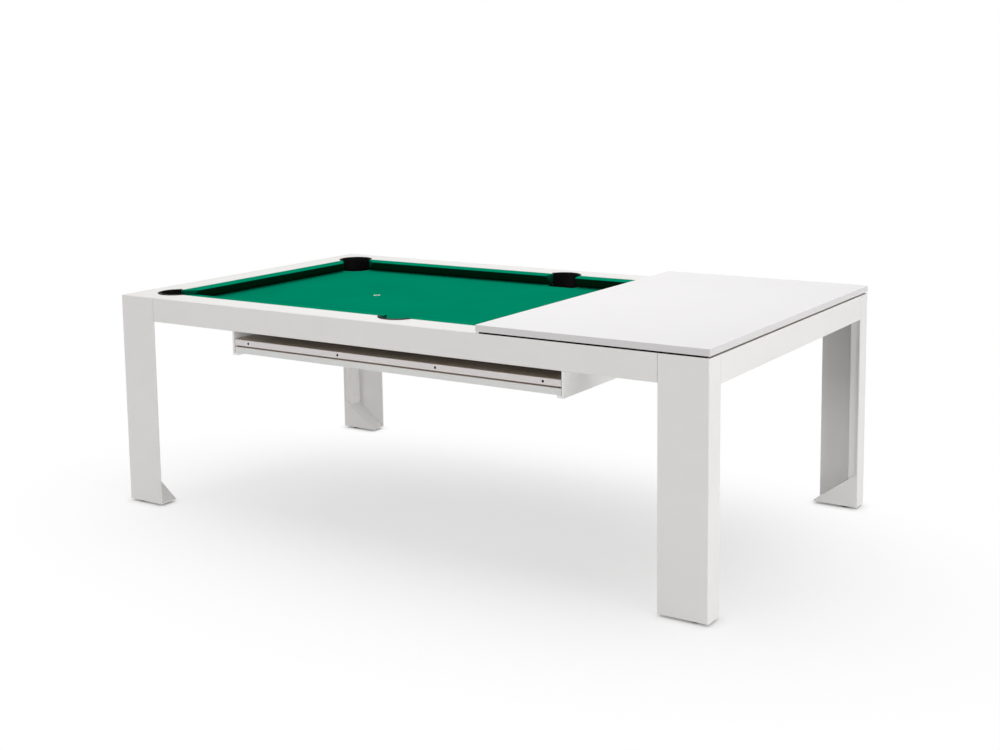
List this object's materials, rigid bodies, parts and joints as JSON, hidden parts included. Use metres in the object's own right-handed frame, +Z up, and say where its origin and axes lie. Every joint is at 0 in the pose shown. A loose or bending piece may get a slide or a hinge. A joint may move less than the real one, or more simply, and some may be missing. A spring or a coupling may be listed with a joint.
{
  "type": "pool table",
  "caption": "White pool table with folded sheet legs, a green cloth bed with pockets and a lift-on dining leaf, and a rack under the bed that stores the other leaves.",
  "frame": {"origin": "on the floor under the middle of the table", "axes": "+X along the long side towards the end with the leaf, -Y towards the front, where the rack opens, +Z up"},
  "size_m": [2.28, 1.29, 0.779],
  "materials": {
    "powder_white": "satin",
    "frame_grey": "matte",
    "lacquer_white": "satin",
    "slate": "matte",
    "bed_cloth": "matte",
    "cushion_cloth": "matte",
    "pocket_rubber": "matte",
    "spot_white": "matte",
    "pad_black": "matte",
    "dowel_steel": "satin",
    "bolt_steel": "satin",
    "foot_black": "matte"
  },
  "bodies": {
    "table": {"apron_back": "powder_white", "apron_front": "powder_white", "apron_left": "powder_white", "apron_right": "powder_white", "bed_cloth": "bed_cloth", "bracket_studs": "bolt_steel", "corner_bracket_back_left": "frame_grey", "corner_bracket_back_right": "frame_grey", "corner_bracket_front_left": "frame_grey", "corner_bracket_front_right": "frame_grey", "cross_beam_inner_left": "frame_grey", "cross_beam_inner_right": "frame_grey", "cross_beam_outer_left": "frame_grey", "cross_beam_outer_right": "frame_grey", "cushion_back_left": "cushion_cloth", "cushion_back_right": "cushion_cloth", "cushion_front_left": "cushion_cloth", "cushion_front_right": "cushion_cloth", "cushion_left_end": "cushion_cloth", "cushion_right_end": "cushion_cloth", "end_bearer_left": "frame_grey", "end_bearer_right": "frame_grey", "foot_spot": "spot_white", "frame_bolts": "bolt_steel", "frame_nuts": "bolt_steel", "leg_back_left": "powder_white", "leg_back_right": "powder_white", "leg_front_left": "powder_white", "leg_front_right": "powder_white", "pocket_back_left": "pocket_rubber", "pocket_back_right": "pocket_rubber", "pocket_front_left": "pocket_rubber", "pocket_front_right": "pocket_rubber", "pocket_side_back": "pocket_rubber", "pocket_side_front": "pocket_rubber", "rack_back_stop": "powder_white", "rack_end_left": "powder_white", "rack_end_right": "powder_white", "rail_back_left": "lacquer_white", "rail_back_right": "lacquer_white", "rail_bolts": "bolt_steel", "rail_front_left": "lacquer_white", "rail_front_right": "lacquer_white", "rail_left_end": "lacquer_white", "rail_right_end": "lacquer_white", "slate_left": "slate", "slate_middle": "slate", "slate_right": "slate"},
    "right_leaf": {"right_leaf": "lacquer_white", "right_leaf_pads": "pad_black", "right_leaf_dowels": "dowel_steel"},
    "middle_leaf": {"middle_leaf": "lacquer_white", "middle_leaf_pads": "pad_black"},
    "left_leaf": {"left_leaf": "lacquer_white", "left_leaf_pads": "pad_black", "left_leaf_dowels": "dowel_steel"},
    "foot_front_left": {"levelling_foot_front_left": "foot_black"},
    "foot_front_right": {"levelling_foot_front_right": "foot_black"},
    "foot_back_left": {"levelling_foot_back_left": "foot_black"},
    "foot_back_right": {"levelling_foot_back_right": "foot_black"}
  },
  "joints": [
    {"name": "right_leaf_lift", "type": "slide", "parent": "table", "child": "right_leaf", "axis": [0, 0, 1], "range_m": [0, 0.3]},
    {"name": "middle_leaf_slide", "type": "slide", "parent": "table", "child": "middle_leaf", "axis": [0, -1, 0], "range_m": [0, 0.85]},
    {"name": "left_leaf_slide", "type": "slide", "parent": "table", "child": "left_leaf", "axis": [0, -1, 0], "range_m": [0, 0.85]},
    {"name": "foot_front_left_turn", "type": "hinge", "parent": "table", "child": "foot_front_left", "pos_m": [-1.093, -0.61, 0], "axis": [0, 0, 1], "continuous": true},
    {"name": "foot_front_right_turn", "type": "hinge", "parent": "table", "child": "foot_front_right", "pos_m": [1.093, -0.61, 0], "axis": [0, 0, 1], "continuous": true},
    {"name": "foot_back_left_turn", "type": "hinge", "parent": "table", "child": "foot_back_left", "pos_m": [-1.093, 0.61, 0], "axis": [0, 0, 1], "continuous": true},
    {"name": "foot_back_right_turn", "type": "hinge", "parent": "table", "child": "foot_back_right", "pos_m": [1.093, 0.61, 0], "axis": [0, 0, 1], "continuous": true}
  ]
}
